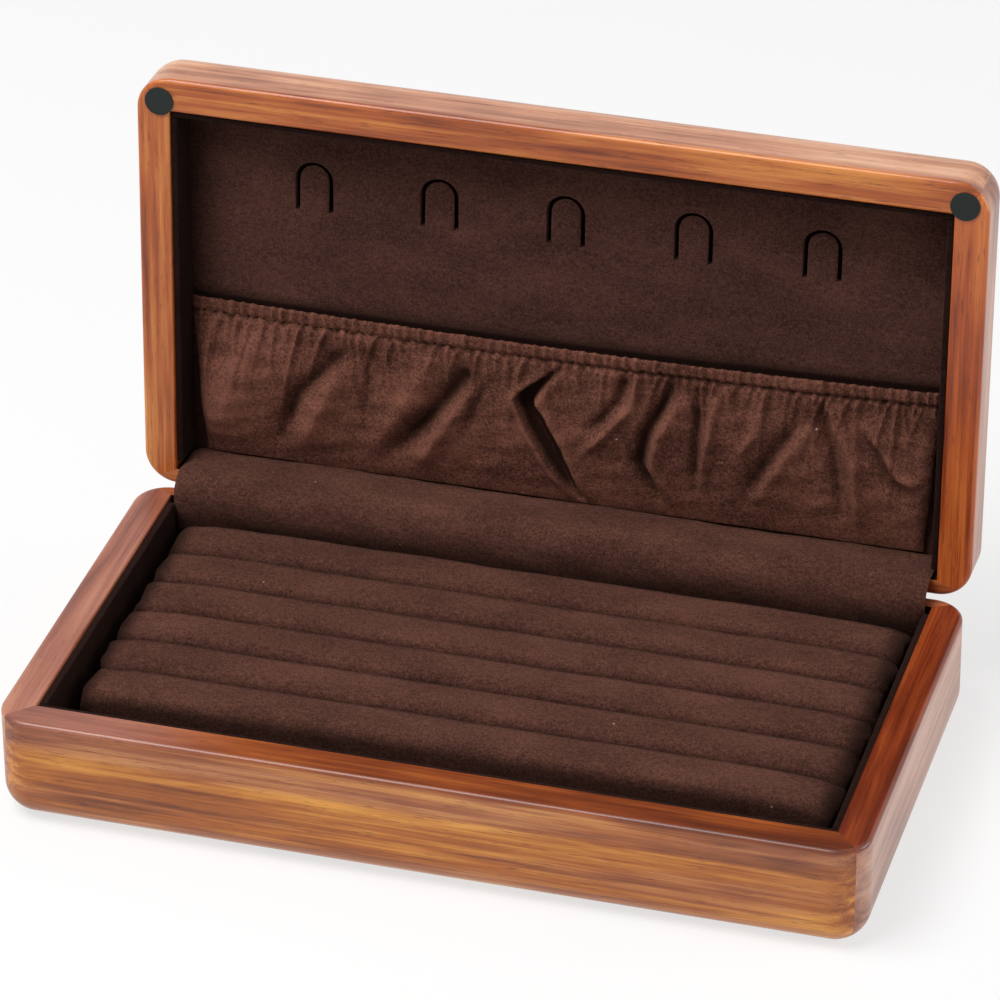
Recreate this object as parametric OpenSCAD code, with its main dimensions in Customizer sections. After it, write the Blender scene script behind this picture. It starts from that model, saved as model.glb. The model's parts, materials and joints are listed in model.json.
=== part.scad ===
// Ring display box: a hinged two-part wooden case, shown open.
// Origin: centre of the base's underside. +X right, +Y towards the hinge, +Z up.

/* [Case] */
// Width of the case, left to right
case_w = 250; // [200:1:320]
// Depth of the case, front to back
case_d = 131.5; // [110:0.5:180]
// Height of the base
base_h = 33.5; // [30:0.5:50]
// Height of the lid
lid_h = 22.2; // [20:0.1:36]
// Thickness of the front and side rails
rail_t = 10; // [8:0.5:14]
// Thickness of the two back rails, which the hinge cover laps
back_rail_t = 5; // [4.5:0.1:7]
// Radius of the upright corners
corner_r = 10; // [4:0.5:16]
// Radius of the round along the outer faces
edge_r = 9.6; // [3:0.1:12]
// Radius of the small round on the outer mating edges
rim_r = 1.2; // [0.4:0.1:2]
// Radius of the small round on the inner mating edges
inner_rim_r = 0.6; // [0.2:0.1:1.2]
// Thickness of the wooden bottom
bottom_t = 6; // [4:0.5:9]
// Thickness of the wooden top of the lid
top_t = 7.2; // [5:0.1:9]

/* [Opening] */
// Angle between the mating faces when the lid is fully open
open_angle = 93; // [80:1:105]
// Space between the mating faces when the lid is shut
lid_gap = 0.5; // [0.3:0.1:1.5]

/* [Hinges] */
// Distance of the pin's axis behind the back of the case
hinge_back = 0.3; // [0:0.1:1]
// Distance of each hinge's middle from the side of the case
hinge_in = 53; // [36:1:70]
// Length of one hinge
hinge_l = 25; // [18:0.5:36]
// Outer radius of a knuckle
knuckle_r = 1.6; // [1.4:0.1:2.2]
// Radius of the hinge pin
pin_r = 0.8; // [0.6:0.05:1]
// Radial clearance of the pin in the lid's knuckle
pin_clear = 0.05; // [0.02:0.01:0.1]
// Thickness of a hinge leaf
leaf_t = 1; // [0.8:0.1:1.4]
// Width of a leaf in front of the pin's axis
leaf_w = 4.6; // [4.2:0.1:6]
// Radial reach of the stop lips behind the knuckles
lip_reach = 3.4; // [2.6:0.1:4.5]
// Thickness of a stop lip
lip_t = 0.9; // [0.6:0.1:1.2]
// Radius of a screw head
screw_head_r = 1.35; // [1.1:0.05:1.6]
// Radius of a screw shank
screw_r = 0.7; // [0.5:0.05:0.9]
// Length of a screw
screw_l = 7; // [4:0.5:10]
// Distance between the two screws of a leaf
screw_pitch = 15; // [10:0.5:16]

/* [Lining] */
// Thickness of the covered boards along the side walls
liner_t = 2; // [1.2:0.1:3]
// Drop of those boards below the mating face
liner_drop = 0.8; // [0.4:0.1:2]
// Thickness of the covered board under the ring rolls
floor_board_t = 2; // [1:0.1:3]
// Thickness of the covered board in the lid
lid_board_t = 3; // [2:0.1:4]
// Clearance between covered boards
board_clear = 0.1; // [0.05:0.05:0.5]
// Clearance around soft pieces
soft_clear = 0.3; // [0.2:0.05:0.8]

/* [Ring rolls] */
// Number of ring rolls
roll_count = 6; // [3:1:7]
// Distance between the middles of two rolls
roll_pitch = 16; // [14:0.5:17]
// Space between a roll's end and the lining beside it
roll_end_gap = 2; // [0.3:0.1:8]
// Depth of the rolls' crowns below the mating face
roll_drop = 4.6; // [2:0.1:12]
// Radius of the rounded ends of a roll
roll_end_r = 3.5; // [1:0.1:5]

/* [Hinge cover] */
// Thickness of the padded strip over the hinges
cover_t = 2; // [1.2:0.1:3]
// Clearance between the strip and the rails
cover_clear = 0.2; // [0.1:0.05:0.5]
// Length of the strip's leg down into the base
cover_leg = 17; // [8:0.5:22]

/* [Chain hooks] */
// Number of hook tongues in the lid
hook_count = 5; // [1:1:5]
// Distance between the tongues
hook_pitch = 37.7; // [24:0.1:48]
// Width of a tongue
hook_w = 9.4; // [6:0.1:14]
// Height of a tongue from its pivot to its tip
hook_l = 13.3; // [12:0.1:20]
// Thickness of a tongue
hook_t = 2; // [1:0.1:2.6]
// Width of the slit around a tongue
slit_w = 1.0; // [0.4:0.1:1.2]
// Distance of the tongues' pivots from the back of the lid
hook_s = 91.0; // [70:0.1:95]

/* [Pocket] */
// Distance of the hem's top edge from the back of the lid
hem_s = 57.2; // [40:0.1:70]
// Height of the gathered hem above its stitching
hem_h = 2.6; // [2:0.1:5]
// Thickness of the gathered hem
hem_t = 1.6; // [1:0.1:2.5]
// Number of gathers along the hem
hem_gathers = 40; // [20:1:60]
// Depth of one gather
hem_ripple = 0.4; // [0.1:0.05:0.6]
// Thickness of the pocket's cloth
cloth_t = 0.9; // [0.6:0.1:1.5]
// Lift of the cloth off the board at its edges
cloth_lift = 1.4; // [1.2:0.1:3]
// Extra lift of the cloth in the middle of its height
cloth_belly = 2.4; // [0:0.1:5]
// Width of the dark gap beside the cloth at its foot
cloth_inset = 4; // [1:0.5:8]

/* [Bumpers] */
// Radius of the round bumpers in the lid's front corners
bumper_r = 4.25; // [3:0.05:4.5]
// Distance of a bumper's middle from the case's side and front
bumper_in = 7; // [5.5:0.1:8]
// Depth of the bumper's seat
bumper_seat = 1; // [0.6:0.1:2]
// Space left between a bumper and the base when the lid is shut
bumper_gap = 0.05; // [0:0.01:0.15]

/* [Hidden] */
$fn = 64;

FRONT = 0;
BACK = 1;
LEFT = 2;
RIGHT = 3;
far = 1;

half_w = case_w / 2;
half_d = case_d / 2;
round_r = min(edge_r, corner_r - 0.3);
inner_w = case_w - 2 * rail_t;
cavity_front = -half_d + rail_t;
cavity_back = half_d - back_rail_t;
shut_z = base_h + lid_gap;
hinge_x = half_w - hinge_in;
hinge_y = half_d + hinge_back;
hinge_z = base_h + lid_gap / 2;
cover_in_r = back_rail_t + hinge_back + cover_clear;
cover_out_r = cover_in_r + cover_t;
cover_front = hinge_y - cover_out_r;
roll_w = roll_pitch - soft_clear;
roll_l = inner_w - 2 * liner_t - 2 * roll_end_gap;
roll_base_z = bottom_t + floor_board_t;
first_roll_y = cover_front - soft_clear - roll_pitch / 2;
board_depth = lid_h - top_t - lid_board_t;
cover_s = half_d - cover_front;
plate_l = hinge_l - 0.2;
stitch_s = hem_s - hem_h;

wood_light = [0.72, 0.42, 0.2];
wood_mid = [0.62, 0.33, 0.16];
wood_red = [0.5, 0.22, 0.1];
suede = [0.26, 0.16, 0.13];
suede_light = [0.31, 0.2, 0.17];
brass = [0.72, 0.56, 0.26];
pad_black = [0.06, 0.07, 0.07];

// Plan outline of one mitred rail, seen from above.
function rail_plan(side) =
    let (
        outer = [[-half_w, -half_d], [half_w, -half_d], [half_w, half_d], [-half_w, half_d]],
        inner = [
            [-half_w + rail_t, cavity_front], [half_w - rail_t, cavity_front],
            [half_w - rail_t, cavity_back], [-half_w + rail_t, cavity_back]
        ]
    )
    side == FRONT ? [outer[0], outer[1], inner[1], inner[0]]
    : side == RIGHT ? [outer[1], outer[2], inner[2], inner[1]]
    : side == BACK ? [outer[2], outer[3], inner[3], inner[2]]
    : [outer[3], outer[0], inner[0], inner[3]];

// Section that a round of radius r removes from a square edge at the origin.
module round_section(r) {
    difference() {
        translate([-far, -far]) square([r + far, r + far]);
        translate([r, r]) circle(r);
    }
}

// Straight cutter for an edge at the origin, running along X.
module edge_cutter(r, length) {
    rotate([90, 0, 90]) translate([0, 0, -length / 2]) linear_extrude(length) round_section(r);
}

// Removes the rounds of a half case whose outer face is at z = 0 and mating face at z = h.
module outer_rounds(h) {
    for (flip = [0, 1]) mirror([0, flip, 0]) {
        translate([0, -half_d, 0]) edge_cutter(round_r, case_w);
        translate([0, -half_d, h]) mirror([0, 0, 1]) edge_cutter(rim_r, case_w);
    }
    for (flip = [0, 1]) mirror([flip, 0, 0]) rotate([0, 0, -90]) {
        translate([0, -half_w, 0]) edge_cutter(round_r, case_d);
        translate([0, -half_w, h]) mirror([0, 0, 1]) edge_cutter(rim_r, case_d);
    }
    for (sx = [0, 1], sy = [0, 1]) mirror([sx, 0, 0]) mirror([0, sy, 0])
        translate([half_w - corner_r, half_d - corner_r, 0]) corner_rounds(h);
}

// Removes one upright corner and the ends of its two rounds; the corner's axis is at the origin.
module corner_rounds(h) {
    translate([0, 0, -far]) linear_extrude(h + 2 * far) difference() {
        square(corner_r + far);
        circle(corner_r);
    }
    corner_sweep(round_r);
    translate([0, 0, h]) mirror([0, 0, 1]) corner_sweep(rim_r);
}

module corner_sweep(r) {
    rotate_extrude(angle = 90) translate([corner_r, 0]) mirror([1, 0]) round_section(r);
}

// Removes the small round along a rail's inner mating edge, as far as its mitres.
module inner_round(side, h) {
    if (side == FRONT) translate([0, cavity_front, h]) mirror([0, 0, 1]) mirror([0, 1, 0])
        edge_cutter(inner_rim_r, inner_w + 2 * inner_rim_r);
    if (side == LEFT || side == RIGHT) mirror([side == RIGHT ? 1 : 0, 0, 0]) rotate([0, 0, -90])
        translate([-(cavity_front + cavity_back) / 2, -half_w + rail_t, h]) mirror([0, 0, 1]) mirror([0, 1, 0])
            edge_cutter(inner_rim_r, cavity_back - cavity_front + 2 * inner_rim_r);
}

module rail(side, h) {
    difference() {
        linear_extrude(h) polygon(rail_plan(side));
        outer_rounds(h);
        inner_round(side, h);
    }
}

// Wooden panel let in between the rails, with its outer face at z = 0.
module between_rails(t) {
    difference() {
        translate([-inner_w / 2, cavity_front, 0]) cube([inner_w, cavity_back - cavity_front, t]);
        outer_rounds(3 * t);
    }
}

// Puts a half case, drawn outer face down, upside down over the base.
module as_lid() {
    translate([0, 0, shut_z + lid_h]) mirror([0, 0, 1]) children();
}

// Turns what is drawn shut to its open place.
module opened() {
    translate([0, hinge_y, hinge_z]) rotate([-open_angle, 0, 0])
        translate([0, -hinge_y, -hinge_z]) children();
}

// A point on the lid: x, distance s from its back, depth b behind its mating face; drawn shut.
function on_lid(x, s, b) = [x, half_d - s, shut_z + b];

module at_hinge(side) {
    translate([side * hinge_x, hinge_y, hinge_z]) children();
}

module along_x(r, length) {
    rotate([0, 90, 0]) cylinder(r = r, h = length, center = true);
}

// Mirrors a lid hinge part from the drawing of its base twin.
module lid_twin() {
    mirror([0, 0, 1]) children();
}

// What a leaf, its knuckles and its screws take out of a back rail.
module leaf_seat() {
    translate([-hinge_l / 2 - board_clear, -leaf_w - board_clear, -lid_gap / 2 - leaf_t])
        cube([hinge_l + 2 * board_clear, leaf_w + board_clear, leaf_t + far]);
    along_x(knuckle_r + 0.25, hinge_l + 2 * board_clear);
    screw_places() translate([0, 0, -screw_l]) cylinder(r = screw_r + 0.05, h = screw_l);
}

module screw_place(side) {
    translate([side * screw_pitch / 2, -leaf_w + (leaf_w - knuckle_r) / 2, -lid_gap / 2]) children();
}

module screw_places() {
    for (side = [-1, 1]) screw_place(side) children();
}

module screw() {
    head_h = leaf_t * 0.7;
    difference() {
        union() {
            translate([0, 0, -head_h]) cylinder(r1 = screw_r, r2 = screw_head_r, h = head_h);
            translate([0, 0, -screw_l]) cylinder(r = screw_r, h = screw_l - head_h + 0.01);
        }
        translate([-0.15, -screw_head_r - far, -0.35]) cube([0.3, 2 * screw_head_r + 2 * far, 1]);
    }
}

// Knuckles that belong to one leaf: the two outer ones, or the middle one.
module knuckles(middle, r) {
    third = hinge_l / 3;
    gap = 0.1;
    if (middle) along_x(r, third - 2 * gap);
    else for (side = [-1, 1]) translate([side * third, 0, 0]) along_x(r, third);
}

// One leaf with its knuckles and stop lip, in the base's attitude about the pin.
module leaf(middle, bore_r) {
    third = hinge_l / 3;
    difference() {
        union() {
            translate([-plate_l / 2, -leaf_w, -lid_gap / 2 - leaf_t]) cube([plate_l, leaf_w, leaf_t]);
            knuckles(middle, knuckle_r);
            stop_lip(middle);
        }
        if (middle) for (side = [-1, 1]) translate([side * third, 0, 0]) along_x(knuckle_r + 0.2, third);
        else along_x(knuckle_r + 0.2, third);
        along_x(bore_r, hinge_l + 2);
        screw_places() {
            translate([0, 0, -leaf_t * 0.7]) cylinder(r1 = screw_r, r2 = screw_head_r, h = leaf_t * 0.7);
            translate([0, 0, -leaf_t - far]) cylinder(r = screw_r, h = 2 * far);
        }
    }
}

// Lip behind the knuckles that meets its twin when the lid is fully open.
module stop_lip(middle) {
    start = knuckle_r + 0.3;
    rotate([-open_angle / 2, 0, 0]) {
        translate([-plate_l / 2, start, -lip_t - 0.05]) cube([plate_l, lip_reach - start, lip_t]);
        intersection() {
            translate([-plate_l / 2, 0, -lip_t - 0.05]) cube([plate_l, start + 0.01, lip_t]);
            knuckles(middle, start + far);
        }
    }
}

// Seat of a round bumper, drawn on the lid shut.
module bumper_place(side) {
    translate([side * (half_w - bumper_in), -half_d + bumper_in, shut_z]) children();
}

module base_rail(side) {
    difference() {
        rail(side, base_h);
        if (side == BACK) for (hand = [-1, 1]) at_hinge(hand) leaf_seat();
    }
}

module lid_rail(side) {
    opened() difference() {
        as_lid() rail(side, lid_h);
        if (side == BACK) for (hand = [-1, 1]) at_hinge(hand) lid_twin() leaf_seat();
        if (side != BACK) for (hand = [-1, 1]) bumper_place(hand)
            translate([0, 0, -far]) cylinder(r = bumper_r, h = bumper_seat + far);
    }
}

// Covered boards along the walls of the base.
module base_liner(side) {
    h = base_h - liner_drop - bottom_t;
    back = cover_front - soft_clear;
    front = cavity_front + liner_t + board_clear;
    color(suede) {
        if (side == FRONT) translate([-inner_w / 2, cavity_front, bottom_t]) cube([inner_w, liner_t, h]);
        else {
            x = side == LEFT ? -inner_w / 2 : inner_w / 2 - liner_t;
            translate([x, front, bottom_t]) cube([liner_t, back - front, h]);
        }
    }
}

// Covered boards along the walls of the lid.
module lid_liner(side) {
    low = shut_z + liner_drop;
    h = board_depth - liner_drop;
    back = cover_front - soft_clear;
    front = cavity_front + liner_t + board_clear;
    color(suede) opened() {
        if (side == FRONT) translate([-inner_w / 2, cavity_front, low]) cube([inner_w, liner_t, h]);
        else {
            x = side == LEFT ? -inner_w / 2 : inner_w / 2 - liner_t;
            translate([x, front, low]) cube([liner_t, back - front, h]);
        }
    }
}

module base_floor_board() {
    front = cavity_front + liner_t + board_clear;
    back = cover_front - soft_clear;
    x = inner_w / 2 - liner_t - board_clear;
    color(suede) translate([-x, front, bottom_t]) cube([2 * x, back - front, floor_board_t]);
}

// Foam roll with a half-round crown and rounded ends; index 1 is nearest the hinge.
module ring_roll(index) {
    top = base_h - roll_drop;
    crown_r = roll_w / 2;
    h = top - roll_base_z;
    y = first_roll_y - (index - 1) * roll_pitch;
    color(suede_light) translate([0, y, roll_base_z]) intersection() {
        rotate([90, 0, 90]) translate([0, 0, -roll_l / 2]) linear_extrude(roll_l) {
            translate([-crown_r, 0]) square([roll_w, h - crown_r]);
            translate([0, h - crown_r]) circle(crown_r);
        }
        rotate([90, 0, 0]) translate([0, 0, -roll_w]) linear_extrude(2 * roll_w) {
            translate([-roll_l / 2, 0]) square([roll_l, h - roll_end_r]);
            translate([-roll_l / 2 + roll_end_r, 0]) square([roll_l - 2 * roll_end_r, h]);
            for (side = [-1, 1])
                translate([side * (roll_l / 2 - roll_end_r), h - roll_end_r]) circle(roll_end_r);
        }
        linear_extrude(h + far) {
            square([roll_l, roll_w - 2 * roll_end_r], center = true);
            square([roll_l - 2 * roll_end_r, roll_w], center = true);
            for (sx = [-1, 1], sy = [-1, 1])
                translate([sx * (roll_l / 2 - roll_end_r), sy * (roll_w / 2 - roll_end_r)])
                    circle(roll_end_r);
        }
    }
}

// Outline of a tongue: straight sides and a round tip, with its pivot at the origin.
module tongue_outline(grow) {
    r = hook_w / 2 + grow;
    translate([-r, 0]) square([2 * r, hook_l - hook_w / 2]);
    translate([0, hook_l - hook_w / 2]) circle(r);
}

// Places a tongue's drawing on the shut lid: y towards the front, z from the board's face inwards.
module hook_place(index) {
    x = (index - (hook_count + 1) / 2) * hook_pitch;
    translate(on_lid(x, hook_s, board_depth)) mirror([0, 1, 0]) children();
}

module hook(index) {
    color(suede_light) opened() hook_place(index) {
        linear_extrude(hook_t) tongue_outline(0);
        translate([0, 0, hook_t / 2]) along_x(hook_t / 2, hook_w);
    }
}

module lid_board() {
    front = cavity_front + board_clear;
    back = cavity_back - board_clear;
    x = inner_w / 2 - board_clear;
    color(suede) opened() difference() {
        translate([-x, front, shut_z + board_depth]) cube([2 * x, back - front, lid_board_t]);
        for (index = [1:hook_count]) hook_place(index) translate([0, 0, -far]) {
            linear_extrude(lid_board_t + 2 * far) tongue_outline(slit_w);
            translate([-hook_w / 2 - slit_w, -hook_t / 2 - 0.3, 0])
                cube([hook_w + 2 * slit_w, hook_t / 2 + 0.31, lid_board_t + 2 * far]);
        }
    }
}

// Padded strip that laps both back rails and bends round the hinge axis.
module hinge_cover() {
    long = inner_w - 2 * soft_clear;
    lid_leg = board_depth + lid_gap / 2 - soft_clear;
    steps = 24;
    function bend(r, k) = let (a = 180 - open_angle * k / steps) r * [cos(a), sin(a)];
    along = [sin(open_angle), cos(open_angle)];
    color(suede_light) translate([-long / 2, hinge_y, hinge_z]) rotate([90, 0, 90]) linear_extrude(long)
        polygon(concat(
            [[-cover_out_r, -cover_leg]],
            [for (k = [0:steps]) bend(cover_out_r, k)],
            [bend(cover_out_r, steps) + lid_leg * along, bend(cover_in_r, steps) + lid_leg * along],
            [for (k = [steps:-1:0]) bend(cover_in_r, k)],
            [[-cover_in_r, -cover_leg]]
        ));
}

// Main folds of the pocket, as [x at the hem, x at the knee, x at the foot, half width, lift].
folds = [
    [-96, -101, -104, 6, 1.1],
    [-64, -74, -88, 6, -1.6],
    [-46, -52, -66, 7, 1.2],
    [-28, -38, -55, 6, -1.7],
    [-12, -24, -14, 7, 1.3],
    [-4, -14, 6, 4, -2.2],
    [20, 10, 16, 7, 1.4],
    [36, 24, 31, 5, -1.5],
    [50, 44, 41, 5, 1.2],
    [70, 62, 53, 6, -1.4],
    [79, 88, 90, 6, 1.1],
    [95, 104, 106, 5, -1.0]
];
knee = 0.62;
across = 48;
up = 11;

function fold_x(fold, v) =
    v > knee ? fold[1] + (fold[0] - fold[1]) * (v - knee) / (1 - knee)
    : fold[2] + (fold[1] - fold[2]) * v / knee;
function fold_lift(x, v) =
    let (k = sin(180 * (0.05 + 0.95 * v)))
    k * [for (fold = folds) fold[4] * exp(-pow((x - fold_x(fold, v)) / fold[3], 2))] * [for (fold = folds) 1];

// Half the width of the cloth at v up, then its x and the lift of its face at u across; u and v from 0 to 1.
function cloth_edge(v) = inner_w / 2 - liner_t - soft_clear - cloth_inset * sin(90 * (1 - v));
function cloth_x(u, v) = (2 * u - 1) * cloth_edge(v);
function cloth_face(u, v) =
    let (side = min(1, 12 * min(u, 1 - u)))
    cloth_lift + side * (cloth_belly * sin(180 * v) + fold_lift(cloth_x(u, v), v));

// Closed solid between two grids of points, each with the given columns and rows.
module sheet(face, back, columns, rows) {
    stride = columns + 1;
    size = stride * (rows + 1);
    rim = concat(
        [for (i = [0:columns]) i],
        [for (j = [1:rows]) j * stride + columns],
        [for (i = [columns - 1:-1:0]) rows * stride + i],
        [for (j = [rows - 1:-1:1]) j * stride]
    );
    cells = [for (j = [0:rows - 1], i = [0:columns - 1]) j * stride + i];
    sides = [for (k = [0:len(rim) - 1]) [rim[k], rim[(k + 1) % len(rim)]]];
    polyhedron(
        points = concat(face, back),
        faces = concat(
            [for (a = cells) [a, a + stride, a + 1]],
            [for (a = cells) [a + 1, a + stride, a + stride + 1]],
            [for (a = cells) [size + a, size + a + 1, size + a + stride]],
            [for (a = cells) [size + a + 1, size + a + stride + 1, size + a + stride]],
            [for (s = sides) [s[0], s[1], s[1] + size]],
            [for (s = sides) [s[0], s[1] + size, s[0] + size]]
        )
    );
}

module pocket_cloth() {
    foot = cover_s + soft_clear;
    top = stitch_s - soft_clear;
    function point(i, j, behind) =
        let (u = i / across, v = j / up)
        on_lid(cloth_x(u, v), foot + (top - foot) * v, board_depth - cloth_face(u, v) + behind);
    color(suede_light) opened() sheet(
        [for (j = [0:up], i = [0:across]) point(i, j, 0)],
        [for (j = [0:up], i = [0:across]) point(i, j, cloth_t)],
        across, up
    );
}

module pocket_hem() {
    steps = 3 * hem_gathers;
    width = inner_w - 2 * liner_t - 2 * soft_clear;
    function point(i, j, behind) =
        on_lid(
            -width / 2 + width * i / steps,
            stitch_s + hem_h * j,
            board_depth - soft_clear - (behind ? 0 : hem_t + hem_ripple * (sin(120 * i) - 1) * j)
        );
    color(suede_light) opened() sheet(
        [for (j = [0, 1], i = [0:steps]) point(i, j, false)],
        [for (j = [0, 1], i = [0:steps]) point(i, j, true)],
        steps, 1
    );
}

module bumper(side) {
    color(pad_black) opened() bumper_place(side) translate([0, 0, bumper_gap - lid_gap])
        cylinder(r = bumper_r, h = bumper_seat + lid_gap - bumper_gap);
}

module base_front_rail() { color(wood_light) base_rail(FRONT); }
module base_back_rail() { color(wood_red) base_rail(BACK); }
module base_left_rail() { color(wood_mid) base_rail(LEFT); }
module base_right_rail() { color(wood_red) base_rail(RIGHT); }
module base_bottom() { color(wood_mid) between_rails(bottom_t); }
module base_leaf(hand) { color(brass) at_hinge(hand) leaf(false, pin_r); }
module lid_leaf(hand) { color(brass) opened() at_hinge(hand) lid_twin() leaf(true, pin_r + pin_clear); }
module hinge_pin(hand) { color(brass) at_hinge(hand) along_x(pin_r, hinge_l); }
module base_screw(hand, side) { color(brass) at_hinge(hand) screw_place(side) screw(); }
module lid_screw(hand, side) { color(brass) opened() at_hinge(hand) lid_twin() screw_place(side) screw(); }
module lid_front_rail() { color(wood_light) lid_rail(FRONT); }
module lid_back_rail() { color(wood_mid) lid_rail(BACK); }
module lid_left_rail() { color(wood_mid) lid_rail(LEFT); }
module lid_right_rail() { color(wood_red) lid_rail(RIGHT); }
module lid_top() { color(wood_mid) opened() as_lid() between_rails(top_t); }

base_front_rail();
base_back_rail();
base_left_rail();
base_right_rail();
base_bottom();
base_liner(FRONT);  // base_front_liner
base_liner(LEFT);  // base_left_liner
base_liner(RIGHT);  // base_right_liner
base_floor_board();
ring_roll(1);  // ring_roll_1
ring_roll(2);  // ring_roll_2
ring_roll(3);  // ring_roll_3
ring_roll(4);  // ring_roll_4
ring_roll(5);  // ring_roll_5
ring_roll(6);  // ring_roll_6
base_leaf(-1);  // left_hinge_base_leaf
base_leaf(1);  // right_hinge_base_leaf
lid_leaf(-1);  // left_hinge_lid_leaf
lid_leaf(1);  // right_hinge_lid_leaf
hinge_pin(-1);  // left_hinge_pin
hinge_pin(1);  // right_hinge_pin
base_screw(-1, -1);  // left_hinge_base_screw_1
base_screw(-1, 1);  // left_hinge_base_screw_2
base_screw(1, -1);  // right_hinge_base_screw_1
base_screw(1, 1);  // right_hinge_base_screw_2
lid_screw(-1, -1);  // left_hinge_lid_screw_1
lid_screw(-1, 1);  // left_hinge_lid_screw_2
lid_screw(1, -1);  // right_hinge_lid_screw_1
lid_screw(1, 1);  // right_hinge_lid_screw_2
lid_front_rail();
lid_back_rail();
lid_left_rail();
lid_right_rail();
lid_top();
lid_liner(FRONT);  // lid_front_liner
lid_liner(LEFT);  // lid_left_liner
lid_liner(RIGHT);  // lid_right_liner
lid_board();
hook(1);  // hook_1
hook(2);  // hook_2
hook(3);  // hook_3
hook(4);  // hook_4
hook(5);  // hook_5
pocket_cloth();
pocket_hem();
bumper(-1);  // left_bumper
bumper(1);  // right_bumper
hinge_cover();
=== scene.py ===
"""Ring display box: a varnished wooden case lined in brown suede, shown open."""
import json
import math

import bpy
import numpy as np
from mathutils import Matrix, Vector

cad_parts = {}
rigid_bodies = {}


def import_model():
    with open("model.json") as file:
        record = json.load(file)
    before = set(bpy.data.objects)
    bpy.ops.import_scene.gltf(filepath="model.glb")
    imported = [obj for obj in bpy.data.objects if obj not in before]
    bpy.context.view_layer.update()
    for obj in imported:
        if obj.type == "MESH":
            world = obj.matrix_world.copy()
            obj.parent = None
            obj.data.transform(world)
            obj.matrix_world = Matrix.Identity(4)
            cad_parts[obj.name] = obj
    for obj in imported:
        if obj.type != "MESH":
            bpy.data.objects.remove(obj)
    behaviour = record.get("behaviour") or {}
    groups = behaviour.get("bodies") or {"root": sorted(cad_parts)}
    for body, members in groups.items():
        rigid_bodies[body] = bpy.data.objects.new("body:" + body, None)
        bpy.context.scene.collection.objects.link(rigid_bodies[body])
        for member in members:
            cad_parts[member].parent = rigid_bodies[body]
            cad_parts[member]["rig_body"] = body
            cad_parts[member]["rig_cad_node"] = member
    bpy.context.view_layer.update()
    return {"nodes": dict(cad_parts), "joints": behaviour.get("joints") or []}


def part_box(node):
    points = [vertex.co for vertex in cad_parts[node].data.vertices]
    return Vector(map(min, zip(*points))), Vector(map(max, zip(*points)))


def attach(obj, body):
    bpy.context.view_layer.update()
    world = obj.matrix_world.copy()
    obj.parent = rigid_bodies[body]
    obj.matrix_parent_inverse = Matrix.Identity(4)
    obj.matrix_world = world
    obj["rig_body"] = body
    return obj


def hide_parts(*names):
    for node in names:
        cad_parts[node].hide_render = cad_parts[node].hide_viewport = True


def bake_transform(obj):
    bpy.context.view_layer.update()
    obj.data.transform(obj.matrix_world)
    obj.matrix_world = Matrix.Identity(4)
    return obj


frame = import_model()

MM = 0.001
hinge = next(joint for joint in frame["joints"] if joint["name"] == "lid_hinge")
open_angle = math.radians(hinge["range_deg"][1])
hinge_y, hinge_z = hinge["pos_m"][1] / MM, hinge["pos_m"][2] / MM
half_depth = -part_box("base_front_rail")[0].y / MM
rim_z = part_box("base_front_rail")[1].z / MM
lid_gap = 2 * (hinge_z - rim_z)

# How far the lid's board and the hollow's top lie behind its mating face, and the back rails' thickness.
BOARD_DEPTH, LID_CAVITY, BACK_RAIL = 12.0, 15.0, 5.0

# The open lid's own directions: across it, up from its back edge, and in towards its top.
lid_up = Vector((0, -math.cos(open_angle), math.sin(open_angle)))
lid_in = Vector((0, math.sin(open_angle), math.cos(open_angle)))


def on_lid(x, s, b):
    """Places points, in mm, by x, distance s from the lid's back edge and depth b behind its mating face."""
    y = half_depth - s - hinge_y
    z = rim_z + lid_gap + b - hinge_z
    turned_y = hinge_y + math.cos(open_angle) * y + math.sin(open_angle) * z
    turned_z = hinge_z - math.sin(open_angle) * y + math.cos(open_angle) * z
    return np.stack([x + 0 * turned_y, turned_y, turned_z], axis=-1)


def lid_place(at):
    """The x and s of points in mm: what on_lid places, the other way round."""
    y, z = at[:, 1] - hinge_y, at[:, 2] - hinge_z
    flat_y = math.cos(open_angle) * y - math.sin(open_angle) * z
    return at[:, 0], half_depth - hinge_y - flat_y


def tone(red, green, blue):
    """A colour as a screen shows it, 0 to 255, made linear."""
    def linear(c):
        c = c / 255
        return c / 12.92 if c <= 0.04045 else ((c + 0.055) / 1.055) ** 2.4
    return (linear(red), linear(green), linear(blue), 1)


class Term:
    """A value in a material; arithmetic on it adds its Math nodes."""

    def __init__(self, finish, socket):
        self.finish = finish
        self.socket = socket

    def math(self, operation, *others):
        return self.finish.node("ShaderNodeMath", {"operation": operation}, [self, *others])

    def __add__(self, other):
        return self.math("ADD", other)

    def __mul__(self, other):
        return self.math("MULTIPLY", other)

    def __sub__(self, other):
        return self.math("SUBTRACT", other)

    def __rsub__(self, other):
        return self.finish.node("ShaderNodeMath", {"operation": "SUBTRACT"}, [other, self])

    def __truediv__(self, other):
        return self.math("DIVIDE", other)

    __radd__ = __add__

    def between(self, low, high):
        """0 below low, 1 above high, smooth between."""
        span = {"Value": self, "From Min": low, "From Max": high}
        return self.finish.node("ShaderNodeMapRange", {"interpolation_type": "SMOOTHSTEP"}, span)

    def swing(self, amount):
        """A noise that averages a half, as an unevenness about 0 of the given amount."""
        return (self - 0.5) * amount


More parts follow.
